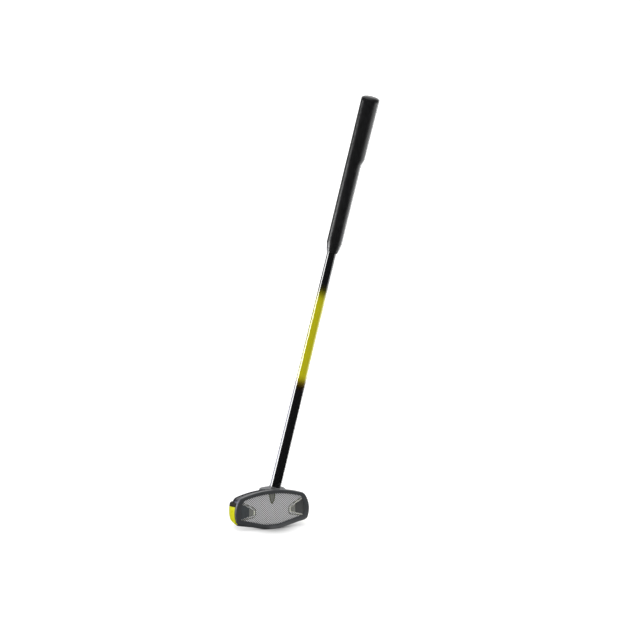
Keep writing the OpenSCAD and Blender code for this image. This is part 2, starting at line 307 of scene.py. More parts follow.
def on_axis(x, y, s):
    """A point beside the shaft's axis, at distance s along it from the sole."""
    return (x * math.cos(LEAN) + s * math.sin(LEAN), y, -x * math.sin(LEAN) + s * math.cos(LEAN))


def round_row(r, s, count, shift=0):
    """A circle round the shaft's axis at distance s, shifted towards the heel."""
    return [on_axis(shift + x, y, s) for x, y in circle(r, count)]


def turned(profile):
    """A closed solid turned about the shaft's axis, from a closed profile of (radius, s)."""
    return loft([round_row(r, s, TURN_STEPS) for r, s in profile], wrap_row=True, wrap_all=True)


# --- the body behind the frame ---

def fall(t, power):
    """How much of the section at the seam is left at t, from 1 at the seam to 0 at the back."""
    return max(0, 1 - t ** power) ** (1 / power)


def last_share(reach, height_at, power):
    """The furthest back that a body of this reach gets to the height wanted there."""
    low, high = 0, 1
    for _ in range(40):
        t = (low + high) / 2
        low, high = (t, high) if reach * fall(t, power) > abs(height_at(t)) else (low, t)
    return low


def plan_curve(z, slope=0):
    """The body's right half on a plane, from the seam to the middle of the back, as (x, y).

    The plane is at height z over the middle of the sole, and falls towards the back.
    """
    def rise(t):
        return z - slope * (SEAM_Y + t * BODY_DEPTH) - MIDDLE_Z

    above = rise(0) > 0
    power = ARCH if above else ROUNDING
    reach = BODY_HALF[-1][1] - MIDDLE_Z if above else MIDDLE_Z - BODY_HALF[0][1]
    last = last_share(reach, rise, power)
    path, steps = [], 159
    for i in range(steps + 1):
        t = last * math.sin(math.pi / 2 * i / steps)
        section_z = MIDDLE_Z + rise(t) / max(0.01, fall(t, power))
        path.append((half_width(BODY_HALF, section_z) * fall(t, ROUNDING),
                     SEAM_Y + t * BODY_DEPTH))
    return resample(path + [(0, path[-1][1])], 72)


def pulled_in(curve, d):
    """A plan curve moved inwards by d, with its first point kept on the seam."""
    out = [(curve[0][0] - d, curve[0][1])]
    for (x0, y0), (x, y), (x2, y2) in zip(curve, curve[1:], curve[2:]):
        n = Vector((y0 - y2, x2 - x0)).normalized() * d
        out.append((max(0, x + n.x), max(SEAM_Y, y + n.y)))
    return out + [(0, curve[-1][1] - d)]


def across(curve, z, slope=0):
    """A row of points on a plane: the curve on the right, then its mirror image."""
    right = [(x, y, z - slope * y) for x, y in curve]
    return right + [(-x, y, h) for x, y, h in right[-2::-1]]


def band(z0, slope0, z1, slope1, steps, edges, thick):
    """A solid band of the body between two parting planes, with rounded outer edges."""
    edge_low, edge_high = edges
    outer = []
    for i in range(4, -1, -1):
        a = math.radians(22.5 * i)
        outer.append((z0 + edge_low * (1 - math.sin(a)), edge_low * (1 - math.cos(a))))
    outer += [(z0 + edge_low + (z1 - z0 - edge_low - edge_high) * i / steps, 0)
              for i in range(1, steps)]
    for i in range(5):
        a = math.radians(22.5 * i)
        outer.append((z1 - edge_high * (1 - math.sin(a)), edge_high * (1 - math.cos(a))))
    rows = []
    for z, d in outer + [(z1, thick), (z0, thick)]:
        slope = slope0 + (slope1 - slope0) * (z - z0) / (z1 - z0)
        rows.append(across(pulled_in(plan_curve(z, slope), d + HAIR), z, slope))
    return loft(rows, wrap_all=True, cap_sides=True)


def crown_row(half, depth, t, low):
    """One cross-section of the crown above the ledge's plane, from right to left."""
    squeeze, y = fall(t, ARCH), SEAM_Y + t * depth
    start = MIDDLE_Z + (low - SLOPE * y - MIDDLE_Z) / squeeze
    side = [(half_width(half, start), start)] + [(x, z) for x, z in half if z > start]
    path = side + [(-x, z) for x, z in side[-2::-1]]
    return [(x * fall(t, ROUNDING), y, MIDDLE_Z + (z - MIDDLE_Z) * squeeze)
            for x, z in resample(path, 97)]


def crown_rows(half, depth, low):
    """The crown's surface above the ledge's plane, as rows from the seam almost to the back."""
    last = last_share(half[-1][1] - MIDDLE_Z,
                      lambda t: low - SLOPE * (SEAM_Y + t * depth) - MIDDLE_Z, ARCH)
    places = [last * math.sin(math.pi / 2 * i / 44) for i in range(44)] + [last * 0.9999]
    return [crown_row(half, depth, t, low) for t in places]


def crown_z(x, y):
    """Height of the crown's surface above a point of the plan."""
    t = (y - SEAM_Y) / CROWN_DEPTH
    wide = abs(x) / fall(t, ROUNDING)
    top = [p for p in CROWN_HALF if p[1] > MIDDLE_Z]
    for (x0, z0), (x1, z1) in zip(top, top[1:]):
        if x1 <= wide <= x0:
            z = z0 + (z1 - z0) * (x0 - wide) / (x0 - x1)
            return MIDDLE_Z + (z - MIDDLE_Z) * fall(t, ARCH)
    return MIDDLE_Z


# --- materials ---

class Maker:
    """A new material and its nodes. A number, colour or socket may be given for any input."""

    def __init__(self, name, **constants):
        self.mat = bpy.data.materials.new(name)
        self.mat.use_nodes = True
        self.tree = self.mat.node_tree
        self.shader = self.tree.nodes["Principled BSDF"]
        self.point = self.tree.nodes.new("ShaderNodeTexCoord").outputs["Object"]
        self.wire(**constants)

    def put(self, kind, inputs=(), out=0, **props):
        """A new node with these inputs and properties, as the output asked for."""
        node = self.tree.nodes.new(kind)
        for key, value in props.items():
            setattr(node, key, value)
        for key, value in dict(inputs).items():
            self.feed(node.inputs[key], value)
        return node.outputs[out]

    def feed(self, socket, value):
        if isinstance(value, bpy.types.NodeSocket):
            self.tree.links.new(value, socket)
        else:
            socket.default_value = value

    def axes(self):
        return self.put("ShaderNodeSeparateXYZ", {0: self.point}).node.outputs

    def along(self, way):
        """Distance along a direction."""
        return self.put("ShaderNodeVectorMath", {0: self.point, 1: way}, 1,
                        operation="DOT_PRODUCT")

    def math(self, operation, a, b=0.0):
        return self.put("ShaderNodeMath", {0: a, 1: b}, operation=operation)

    def weave(self, pitch):
        """1 on the yarns of one direction, -1 on the other's and 0 between them."""
        x, _, z = self.axes()
        waves = [self.math("SINE", self.math("MULTIPLY", c, math.pi / (pitch * MM)))
                 for c in (x, z)]
        return self.math("MULTIPLY", *waves)

    def noise(self, scale, detail=2.0, rough=0.5, stretch=None):
        vector = self.point
        if stretch:
            vector = self.put("ShaderNodeMapping", {"Vector": vector, "Scale": stretch})
        return self.put("ShaderNodeTexNoise", {"Vector": vector, "Scale": scale, "Detail": detail,
                                               "Roughness": rough})

    def pebbles(self, scale):
        return self.put("ShaderNodeTexVoronoi", {"Vector": self.point, "Scale": scale},
                        feature="SMOOTH_F1")

    def ramp(self, value, stops):
        """A value as colours or greys, from stops in rising order."""
        node = self.tree.nodes.new("ShaderNodeValToRGB")
        points = node.color_ramp.elements
        for i, (place, colour) in enumerate(stops):
            e = points[i] if i < 2 else points.new(place)
            e.position = place
            e.color = (*colour, 1) if hasattr(colour, "__len__") else (colour,) * 3 + (1,)
        self.feed(node.inputs[0], value)
        return node.outputs[0]

    def scaled(self, value, low, high, start=0.0, end=1.0):
        """A value that goes from low to high as the given one goes from start to end."""
        return self.put("ShaderNodeMapRange", {"Value": value, "From Min": start, "From Max": end,
                                               "To Min": low, "To Max": high})

    def mix(self, share, a, b, blend="MIX"):
        node = self.tree.nodes.new("ShaderNodeMix")
        node.data_type, node.blend_type = "RGBA", blend
        for socket, value in ((node.inputs[0], share), (node.inputs[6], a), (node.inputs[7], b)):
            if isinstance(value, tuple) and len(value) == 3:
                value = (*value, 1)
            self.feed(socket, value)
        return node.outputs[2]

    def bump(self, height, strength, depth_mm, under=None):
        inputs = {"Height": height, "Strength": strength, "Distance": depth_mm * MM}
        if under:
            inputs["Normal"] = under
        return self.put("ShaderNodeBump", inputs)

    def wire(self, **sockets):
        """Feeds the shader's own inputs, and gives the material."""
        for key, value in sockets.items():
            self.feed(self.shader.inputs[key.replace("_", " ")], value)
        return self.mat


def tone(colour, share):
    """A colour made darker or lighter."""
    return tuple(min(1, c * share) for c in colour)


def moulded(name, colour, rough, grain, size=1400, spec=0.5):
    """Moulded plastic: a fine spark-eroded grain, faint cloudy tone and uneven gloss."""
    m = Maker(name, Specular_IOR_Level=spec)
    cloud = m.scaled(m.noise(45, 3), 0, 1, 0.3, 0.7)
    speck = m.noise(size, 2, 0.6)
    base = m.mix(cloud, tone(colour, 0.88), tone(colour, 1.12))
    base = m.mix(m.scaled(speck, 0, 0.5, 0.45, 0.8), base, tone(colour, 1.3))
    gloss = m.scaled(m.noise(160, 4), rough - 0.05, rough + 0.06, 0.3, 0.7)
    return m.wire(Base_Color=base, Roughness=gloss, Normal=m.bump(speck, grain, 0.05))


def frame_plastic():
    return moulded("frame_plastic", (0.038, 0.041, 0.044), 0.40, grain=0.35, size=1500)


def crown_paint():
    return moulded("crown_paint", (0.013, 0.013, 0.018), 0.22, grain=0.15, size=1300, spec=0.08)


def bumper_rubber():
    return moulded("bumper_rubber", (0.013, 0.011, 0.003), 0.55, grain=0.4, size=1200, spec=0.05)


def yellow_shell():
    """Glossy yellow plastic with a faint orange peel."""
    m = Maker("yellow_shell", Specular_IOR_Level=0.16, Coat_Weight=0.08, Coat_Roughness=0.12)
    cloud = m.scaled(m.noise(38, 3), 0, 1, 0.32, 0.68)
    base = m.mix(cloud, (0.58, 0.575, 0.001), (0.66, 0.655, 0.002))
    peel = m.noise(330, 2)
    return m.wire(Base_Color=base, Roughness=m.scaled(m.noise(120, 3), 0.26, 0.38, 0.3, 0.7),
                  Normal=m.bump(peel, 0.12, 0.08))


def collar_plastic():
    return moulded("collar_plastic", (0.070, 0.073, 0.076), 0.45, grain=0.3, size=1500, spec=0.35)


def bush_plastic():
    return moulded("bush_plastic", (0.10, 0.10, 0.102), 0.36, grain=0.2)


def sole_plastic():
    """Sole plastic, with fine scuffs that run with the stroke."""
    m = Maker("sole_plastic", Specular_IOR_Level=0.45)
    speck = m.noise(1300, 2, 0.6)
    scuff = m.ramp(m.noise(420, 4, 0.65, stretch=(1, 0.05, 1)), [(0.60, 0), (0.72, 1)])
    base = m.mix(m.scaled(speck, 0, 1, 0.35, 0.65), (0.012, 0.012, 0.013), (0.019, 0.019, 0.02))
    base = m.mix(m.math("MULTIPLY", scuff, 0.25), base, (0.06, 0.06, 0.06))
    gloss = m.math("ADD", m.math("MULTIPLY", scuff, 0.15), 0.40)
    return m.wire(Base_Color=base, Roughness=gloss,
                  Normal=m.bump(scuff, 0.1, 0.03, under=m.bump(speck, 0.3, 0.05)))


WEAVE = 2.10                     # pitch of the plate's woven yarns, in millimetres


def woven_plate():
    """A grey basket weave, with painted shade where its yarns meet. Its yarns lie where the mesh's
    relief has them.
    """
    m = Maker("woven_plate", Specular_IOR_Level=0.45, Coat_Weight=0.25, Coat_Roughness=0.25)
    over = m.weave(WEAVE)
    yarn = m.scaled(over, 0, 1, -0.2, 0.3)
    base = m.mix(yarn, (0.045, 0.047, 0.05), (0.68, 0.683, 0.69))
    # painted shade: the weave is darkened where its yarns meet, in the relief's hollows
    painted_shade = m.scaled(m.math("ABSOLUTE", over), 0.72, 1, 0.0, 0.3)
    base = m.mix(1.0, base, m.put("ShaderNodeCombineXYZ", {0: painted_shade, 1: painted_shade, 2: painted_shade}),
                 blend="MULTIPLY")
    fibre = m.noise(2600, 2, 0.6)
    base = m.mix(m.scaled(fibre, 0, 0.35, 0.35, 0.75), base, (0.42, 0.42, 0.43))
    cloud = m.scaled(m.noise(26, 2), 0, 0.06, 0.35, 0.7)
    base = m.mix(cloud, base, (0.24, 0.25, 0.215))
    return m.wire(Base_Color=base, Roughness=m.scaled(fibre, 0.42, 0.55),
                  Normal=m.bump(fibre, 0.25, 0.04))


def panel_plastic(name, colour):
    """Satin panel with a fine ribbed grain that runs up the face."""
    m = Maker(name, Specular_IOR_Level=0.4)
    rib = m.noise(900, 3, 0.6, stretch=(1, 1, 0.08))
    base = m.mix(m.scaled(rib, 0, 1, 0.3, 0.7), tone(colour, 0.82), tone(colour, 1.2))
    return m.wire(Base_Color=base, Roughness=m.scaled(m.noise(200, 3), 0.42, 0.52, 0.3, 0.7),
                  Normal=m.bump(rib, 0.25, 0.04))


def line_paint(name, colour):
    """Thick printed line with a slightly worn, uneven face."""
    m = Maker(name, Specular_IOR_Level=0.4)
    worn = m.scaled(m.noise(700, 4, 0.65), 0, 1, 0.35, 0.7)
    return m.wire(Base_Color=m.mix(worn, colour, tone(colour, 0.68)),
                  Roughness=m.scaled(worn, 0.4, 0.6), Normal=m.bump(worn, 0.15, 0.03))


def shaft_paint():
    """Gloss black lacquer with a yellow band that fades at both of its ends."""
    m = Maker("shaft_paint", Specular_IOR_Level=0.5, Coat_Weight=1.0, Coat_Roughness=0.03,
              Roughness=0.16)
    start, end = 250, 550        # the stretch of the shaft that the colours are spread over
    waver = m.scaled(m.noise(900, 3, 0.7), -0.0035, 0.0035, 0.3, 0.7)
    place = m.math("ADD", m.along((math.sin(LEAN), 0, math.cos(LEAN))), waver)
    black, yellow = (0.0065, 0.0065, 0.007), (0.41, 0.385, 0.004)
    colours = [(276, black), (284, (0.012, 0.006, 0.001)), (293, (0.10, 0.065, 0.002)),
               (300, (0.29, 0.25, 0.003)), (309, yellow), (458, yellow),
               (466, (0.37, 0.35, 0.003)), (476, (0.16, 0.15, 0.002)),
               (486, (0.025, 0.023, 0.002)), (496, black)]
    paint = m.ramp(m.scaled(place, 0, 1, start * MM, end * MM),
                   [((s - start) / (end - start), colour) for s, colour in colours])
    peel = m.noise(260, 2, 0.5, stretch=(1, 1, 0.6))
    return m.wire(Base_Color=paint, Normal=m.bump(peel, 0.04, 0.05))


def grip_rubber(name, rough):
    """Black rubber with a fine leather grain and a faintly mottled bloom."""
    m = Maker(name, Specular_IOR_Level=0.5)
    pebble = m.pebbles(900)
    mottle = m.scaled(m.noise(120, 4, 0.6), 0, 1, 0.3, 0.7)
    base = m.mix(mottle, (0.0055, 0.0055, 0.006), (0.012, 0.012, 0.013))
    base = m.mix(m.scaled(pebble, 0, 0.5, 0.3, 0.9), base, (0.003, 0.003, 0.003))
    gloss = m.scaled(mottle, rough - 0.04, rough + 0.06)
    return m.wire(Base_Color=base, Roughness=gloss, Normal=m.bump(pebble, 0.12, 0.04))


def maple_wood(name):
    """Pale wood whose rings and pores run along the head. It is lacquered black at the seam."""
    m = Maker(name, Specular_IOR_Level=0.35)
    stretched = m.put("ShaderNodeMapping", {"Vector": m.point, "Scale": (0.12, 1, 1)})
    rings = m.put("ShaderNodeTexWave", {"Vector": stretched, "Scale": 38, "Distortion": 5,
                                        "Detail": 3, "Detail Scale": 1.5}, out=1,
                  bands_direction="DIAGONAL")
    pores = m.ramp(m.noise(1500, 2, 0.6, stretch=(0.04, 1, 1)), [(0.56, 0), (0.70, 1)])
    base = m.mix(rings, (0.62, 0.42, 0.22), (0.74, 0.55, 0.33))
    base = m.mix(m.math("MULTIPLY", pores, 0.5), base, (0.40, 0.25, 0.12))
    at_front = m.math("LESS_THAN", m.axes()[1], (SEAM_Y + 0.3) * MM)
    base = m.mix(at_front, base, (0.012, 0.012, 0.014))
    return m.wire(Base_Color=base, Roughness=m.scaled(rings, 0.5, 0.62),
                  Normal=m.bump(pores, 0.2, 0.05))


def cushion_foam():
    return moulded("cushion_foam", (0.05, 0.05, 0.055), 0.8, grain=0.7, size=900, spec=0.2)


def woven_sheet():
    """Dark glass cloth under the plate."""
    m = Maker("woven_sheet", Specular_IOR_Level=0.5)
    over = m.scaled(m.weave(0.9), 0, 1, -0.5, 0.5)
    return m.wire(Base_Color=m.mix(over, (0.20, 0.20, 0.21), (0.36, 0.36, 0.37)),
                  Roughness=m.scaled(over, 0.35, 0.6), Normal=m.bump(over, 0.4, 0.1))


def steel(name, rough):
    """Turned steel with fine rings and small bright scratches."""
    m = Maker(name, Metallic=1.0)
    tool = m.noise(2200, 3, 0.7, stretch=(1, 1, 0.15))
    return m.wire(Base_Color=m.mix(tool, (0.46, 0.47, 0.48), (0.64, 0.65, 0.66)),
                  Roughness=m.scaled(tool, rough - 0.06, rough + 0.14),
                  Normal=m.bump(tool, 0.15, 0.02))


def cloth_tape():
    """Cream cotton tape with crossed threads."""
    m = Maker("cloth_tape", Specular_IOR_Level=0.2)
    warp = m.noise(2400, 2, 0.5, stretch=(1, 1, 0.1))
    weft = m.noise(2400, 2, 0.5, stretch=(0.1, 0.1, 1))
    thread = m.math("MULTIPLY", m.math("ADD", warp, weft), 0.5)
    return m.wire(Base_Color=m.mix(thread, (0.55, 0.49, 0.36), (0.80, 0.75, 0.62)),
                  Roughness=m.scaled(thread, 0.75, 0.95), Normal=m.bump(thread, 0.5, 0.1))


def floor_card():
    """White card that glows evenly, except in a soft patch where the club stands: that patch is a
    painted contact shadow, and the glow keeps the real shadows small.
    """
    m = Maker("floor_card", Roughness=0.9, Specular_IOR_Level=0.1)
    near = RIGHT.cross(Vector((0, 0, 1)))
    squares = []                 # of the distance from the painted shadow's middle, over its spread
    for way, middle, spread in ((RIGHT, 0.0175, 0.0385), (near, 0.022, 0.048)):
        u = m.math("DIVIDE", m.math("SUBTRACT", m.along(way), middle), spread)
        squares.append(m.math("MULTIPLY", u, u))
    # painted shadow: the floor's glow fades out over this soft patch under the club
    painted_shade = m.math("POWER", math.e, m.math("MULTIPLY", m.math("ADD", *squares), -1))
    return m.wire(Base_Color=m.mix(m.noise(3, 2), (0.34, 0.34, 0.34), (0.36, 0.36, 0.36)),
                  Emission_Color=(1, 1, 1, 1), Emission_Strength=m.scaled(painted_shade, 0.75, 0.0))


# --- pieces of the head ---

def face_frame():
    """The frame round the face: rounded outer edge, small inner edge and a stepped pocket."""
    outer, opening, pocket = whole(FRAME_HALF), whole(OPENING_HALF), whole(POCKET_HALF)
    round_r, inner_r, back_edge = 1.3, 0.6, 0.2
    rows = [at_y(inset(outer, back_edge), SEAM_Y), at_y(outer, SEAM_Y - back_edge)]
    for i in range(6):
        a = math.radians(18 * i)
        rows.append(at_y(inset(outer, round_r * (1 - math.cos(a))),
                         FACE_Y + round_r * (1 - math.sin(a))))
    for i in range(4):
        a = math.radians(30 * i)
        rows.append(at_y(inset(opening, -inner_r * (1 - math.sin(a))),
                         FACE_Y + inner_r * (1 - math.cos(a))))
    lip_y = PLATE_Y + 0.05
    rows += [at_y(opening, lip_y), at_y(pocket, lip_y), at_y(pocket, SEAM_Y)]
    piece("face_frame_moulded", loft(rows, wrap_row=True, wrap_all=True), frame_plastic(),
          "frame_black", "face_frame")


def weave_height(x, z):
    """Relief of a basket weave, from 0 in the hollows to about 1 on the yarns."""
    u, v = x / WEAVE, z / WEAVE
    su, sv = math.sin(math.pi * u), math.sin(math.pi * v)
    lift = su * sv
    warp = 0.55 * math.sqrt(abs(su)) + 0.45 * lift
    weft = 0.55 * math.sqrt(abs(sv)) - 0.45 * lift
    return max(warp, weft)


def face_plate():
    """The hitting plate, with its weave as real relief, and its edges under the frame's lip."""
    ring = inset(whole(POCKET_HALF), 1.0)
    reach = max(x for x, z in ring) - 0.05
    columns, rows_up, relief = 330, 150, 0.32
    front = []
    for i in range(columns + 1):
        x = -reach + 2 * reach * i / columns
        low, high = span(ring, x)
        front.append([(x, PLATE_Y + relief * (1 - weave_height(x, z)), z)
                      for z in (low + (high - low) * j / rows_up for j in range(rows_up + 1))])
    points, faces = loft(front)
    n, m = rows_up + 1, columns + 1
    edge = list(range(n)) + [i * n + n - 1 for i in range(1, m)]
    edge += [(m - 1) * n + j for j in range(n - 2, -1, -1)] + [i * n for i in range(m - 2, 0, -1)]
    first = len(points)
    points += [(points[k][0], MESH_Y, points[k][2]) for k in edge]
    count = len(edge)
    for k in range(count):
        faces.append((edge[k], edge[(k + 1) % count], first + (k + 1) % count, first + k))
    faces.append(tuple(first + k for k in range(count)))
    piece("face_plate_woven", (points, faces), woven_plate(), "mesh_plate", "face_plate", sharp=60)


PANEL_IN, PANEL_OUT = 48.3, 68   # from the middle of the face to the two ends of a panel
PANEL_LOW, PANEL_HIGH = (29.7, 23.6), (47, 58.4)     # heights at the inner and outer end


def panel_ring(side):
    """An end panel's outline: two sloping edges, closed by the opening's own curve."""
    ring = whole(OPENING_HALF)
    reach, steps = max(x for x, z in ring) - HAIR, 24
    low, high = [], []
    for i in range(steps + 1):
        x = PANEL_IN + (reach - PANEL_IN) * math.sin(math.pi / 2 * i / steps)
        f = (x - PANEL_IN) / (PANEL_OUT - PANEL_IN)
        z0, z1 = span(ring, x)
        low.append((x, max(z0, PANEL_LOW[0] + f * (PANEL_LOW[1] - PANEL_LOW[0]))))
        high.append((x, min(z1, PANEL_HIGH[0] + f * (PANEL_HIGH[1] - PANEL_HIGH[0]))))
    points = low + high[::-1]
    return points if side == HEEL else [(-x, z) for x, z in points[::-1]]


def end_panels():
    """The dark inlays at the two ends of the face."""
    for side, name, colour in ((TOE, "toe_panel", (0.044, 0.051, 0.055)),
                               (HEEL, "heel_panel", (0.050, 0.052, 0.051))):
        piece(name + "_inlay", slab(panel_ring(side), PLATE_Y - 0.35, PLATE_Y + 1, 0.3),
              panel_plastic(name + "_satin", colour), name, name)


# lines on the heel's side of the plate, as (x, z); the toe's side mirrors them
BRACKET = [(PANEL_IN, 46.0), (39.0, 41.0), (37.7, 39.4), (37.7, 33.4), (39.0, 31.9),
           (PANEL_IN, 29.6)]
BRACKET_FILM = [(PANEL_IN, 30.4), (PANEL_IN, 45.2), (39.6, 40.6), (38.5, 39.2), (38.5, 33.6),
                (39.6, 32.4)]
SHADE = [(65, 60.9), (PANEL_IN, 51.4), (41, 47.6), (35.0, 42.2), (34.8, 31), (38, 26.8),
         (PANEL_IN, 25.3), (65, 21.2)]
PENNANT = [(-5.6, 71.6), (-3.6, 58.6), (-0.7, 52.6), (0.7, 52.6), (3.6, 58.6), (5.6, 71.6)]
LINE_UP, SHADE_UP, FILM_UP = 0.3, 0.15, 0.06     # how far the marks stand off the plate
SUNK_Y = PLATE_Y + 0.5                           # how deep they reach into it


def raised_line(path, width, up=LINE_UP, side=HEEL):
    """A line that stands off the plate, mirrored where it is for the toe's side."""
    return ribbon([(side * x, z) for x, z in path], width, PLATE_Y - up, SUNK_Y)


def film(ring, side=HEEL):
    """A thin printed patch on the plate."""
    return slab([(side * x, z) for x, z in ring[::side]], PLATE_Y - FILM_UP, SUNK_Y, edge=0.02)


def face_marks():
    """The printed brackets beside the end panels, and the pennant over the middle.

    On the toe's side only the bracket's middle bar is pale: its arms and edge lines are painted
    dark, as painted shade where that side catches little light.
    """
    pale = line_paint("pale_line", (0.66, 0.67, 0.55))
    dark = line_paint("dark_line", (0.085, 0.09, 0.06))
    edge_high = [(PANEL_IN, PANEL_HIGH[0] + 1.6), (66, PANEL_HIGH[1] + 0.4)]
    edge_low = [(PANEL_IN, PANEL_LOW[0] - 1.6), (66, PANEL_LOW[1] - 1.0)]
    bold, medium, fine = 1.5, 1.2, 0.9
    pale_lines = [raised_line(BRACKET[1:-1], bold, side=TOE), raised_line(BRACKET, bold)]
    dark_and_shaded_lines = [raised_line(SHADE, bold, SHADE_UP, side) for side in (TOE, HEEL)]
    # on the toe's side these lines are painted dark, as painted shade; on the heel's side they are
    # pale print
    for path, width in ((BRACKET[:2], medium), (BRACKET[-2:], medium), (edge_high, fine),
                        (edge_low, fine)):
        dark_and_shaded_lines.append(raised_line(path, width, side=TOE))
        pale_lines.append(raised_line(path, width))
    piece("panel_outlines_raised", merged(*pale_lines), pale, "pale_mark", "panel_outlines")
    piece("panel_outlines_shade", merged(*dark_and_shaded_lines), dark, "dark_mark")
    piece("sight_mark_raised", raised_line(PENNANT, 2.6), dark, "dark_mark", "sight_mark")
    piece("sight_mark_bar", raised_line([(0, 71.6), (0, 58.5)], 1.3),
          line_paint("dull_line", (0.10, 0.105, 0.075)), "dark_mark")
    films = merged(film(BRACKET_FILM, TOE), film(BRACKET_FILM), film(PENNANT))
    piece("mark_film", films, line_paint("dull_film", (0.17, 0.175, 0.16)), "dark_mark")


def oval(toe, heel, half_wide, grow=0, count=96):
    """An oval about the collar's middle, as (x, y), from the x of its two ends."""
    half_long = (heel - toe) / 2
    return [((toe + heel) / 2 + (half_long + grow) * x, COLLAR_Y + (half_wide + grow) * y)
            for x, y in circle(1, count)]


def crown_cover():
    """The crown: a smooth shell down to the bumper's ledge, cut open under the collar."""
    low = LEDGE_Z - 0.4
    outer = crown_rows(CROWN_HALF, CROWN_DEPTH, low)
    inner = crown_rows(CROWN_INSIDE, CROWN_DEPTH - CROWN_WALL, low)
    obj = piece("crown_cover_shell", loft(outer + inner[::-1], wrap_all=True, cap_sides=True),
                crown_paint(), "crown_black", "crown_cover")
    opening = [[(x, y, z) for x, y in oval(-7.8, 37.8, 12, count=48)] for z in (55, 90)]
    cut(obj, loft(opening, wrap_row=True, cap_rows=True))


SEAM_GAP = 0.15                  # half of the groove where two shells meet


def bumper():
    """The black band under the crown."""
    shape = band(COVER_Z + SEAM_GAP, SLOPE, LEDGE_Z, SLOPE, steps=6, edges=(0.7, 1.3), thick=8.2)
    piece("bumper_band", shape, bumper_rubber(), "bumper_black", "bumper")


def back_cover():
    """The yellow shell between the bumper and the sole."""
    shape = band(SOLE_Z + SEAM_GAP, 0, COVER_Z - SEAM_GAP, SLOPE, steps=26, edges=(0.6, 0.6),
                 thick=2.6)
    piece("back_cover_shell", shape, yellow_shell(), "shell_yellow", "back_cover")


def sole_plate(plastic):
    """The sole: a dished shell underneath, with four counterbored screw seats."""
    steps, wall, top = 26, 2.4, SOLE_Z - SEAM_GAP
    outer, inner = [], []
    for i in range(steps + 1):
        z = top * (1 - i / steps) ** 2 + HAIR
        curve = plan_curve(z)
        outer.append(across(curve, z))
        inner.append(across(pulled_in(curve, wall), wall + z * (top - wall) / top))
    for rows in (outer, inner):
        rows.append([(x, SEAM_Y, z) for x, y, z in rows[-1]])
    obj = piece("sole_plate_moulded", loft(outer + inner[::-1], wrap_all=True, cap_sides=True),
                plastic, "sole_black", "sole_plate")
    cut(obj, *(screw_seat(x, y) for x, y in SCREWS))


def screw_seat(x, y):
    """The room for one screw: a counterbore, the head's cone and the shank."""
    head_r, shank_r, flat_half, rise, deep = 4.1, 2.1, 14, math.radians(10.5), 1.5
    seat = (abs(x) - flat_half) * math.tan(rise) + deep
    rows = []
    for r, z in ((head_r, seat - 8), (head_r, seat), (shank_r, seat + 3), (shank_r, seat + 8)):
        rows.append([(x + a, y + b, z) for a, b in circle(r, 32)])
    return loft(rows, wrap_row=True, cap_rows=True)


def sole_runner(plastic):
    """A flat runner with rounded ends under the middle of the sole."""
    half, back, high, corner = 12, 12, 4, 3
    ring = []
    for cx, cy, start in ((half - corner, back - corner, 0), (corner - half, back - corner, 90)):
        ring += arc((cx, cy), corner, start, start + 90, 6)
    ring += [(-half, SEAM_Y + 0.2), (half, SEAM_Y + 0.2)]
    rows = []
    for d, z in ((0, high), (0, 0.8), (0.12, 0.4), (0.4, 0.12), (0.8, 0)):
        rows.append([(x, y, z) for x, y in inset(ring, d)])
    piece("sole_runner_flat", loft(rows, wrap_row=True, cap_rows=True), plastic, "sole_black")


def hosel_collar():
    """An oval boss that grows out of the crown, with a rounded top that falls at the heel."""
    flare, sunk, shoulder, bore_r = 2.6, 0.25, 68.5, 12.4
    rows = []
    for i in range(7):
        a = math.radians(15 * i)
        row = []
        for x, y in oval(-14, 42, 13, flare * (1 - math.sin(a))):
            base = crown_z(x, y)
            room = max(0.2, min(flare, (shoulder - base) * 0.7))
            row.append((x, y, min(shoulder, base - sunk + room * (1 - math.cos(a)))))
        rows.append(row)
    # the rounded top, as height, the x of both ends and half the width
    for z, toe, heel, half_wide in ((shoulder, -14, 41.3, 13), (69.8, -14, 40.4, 12.85),
                                    (70.8, -14, 39.2, 12.6), (71.8, -13.85, 37.5, 12.3),
                                    (72.8, -13.6, 35.5, 12), (73.5, -13.2, 33.4, 11.6),
                                    (74, -12.6, 31, 11.2)):
        rows.append([(x, y, z) for x, y in oval(toe, heel, half_wide)])
    for z in (74 + HAIR, 64):
        rows.append([(z * math.tan(LEAN) + x / math.cos(LEAN), y, z)
                     for x, y in circle(bore_r, 96)])
    piece("hosel_collar_boss", loft(rows, wrap_row=True, wrap_all=True), collar_plastic(),
          "collar_grey", "hosel_collar")


def hosel_ferrule():
    """The ring round the shaft's foot: a rounded top edge and one shallow groove."""
    outer, groove, foot, top, edge = 12.8, 12.5, 62, 77.5, 1.2
    profile = [(SHAFT_FOOT_R, foot), (outer, foot), (outer, 74.4), (groove, 74.7),
               (groove, 75.1), (outer, 75.4)]
    profile += arc((outer - edge, top - edge), edge, 0, 90, 6)
    profile += [(SHAFT_FOOT_R + 0.1, top), (SHAFT_FOOT_R, top - 0.3)]
    piece("hosel_ferrule_ring", turned(profile), bush_plastic(), "bush_black", "hosel_bush")


# --- shaft and grip ---

def shaft_r(s):
    """The shaft's radius at distance s: it tapers, then stays even from below the grip."""
    f = min(1, (s - SHAFT_FOOT) / (TAPER_TOP - SHAFT_FOOT))
    return SHAFT_FOOT_R + (SHAFT_TOP_R - SHAFT_FOOT_R) * f


def shaft_tube():
    """The painted tube, from its foot inside the head to its end under the grip."""
    places = [SHAFT_FOOT + (SHAFT_END - SHAFT_FOOT) * i / 96 for i in range(97)]
    profile = [(shaft_r(s), s) for s in places]
    profile += [(shaft_r(s) - SHAFT_WALL, s) for s in (SHAFT_END, TAPER_TOP, SHAFT_FOOT)]
    piece("shaft_tube", turned(profile), shaft_paint(), "shaft_paint", "shaft")


def smooth(t):
    """An even start and end between 0 and 1."""
    t = min(1, max(0, t))
    return t * t * (3 - 2 * t)


GROOVE, RIM = 0.955, 0.985       # shares of the grip's radius at the cap's joint


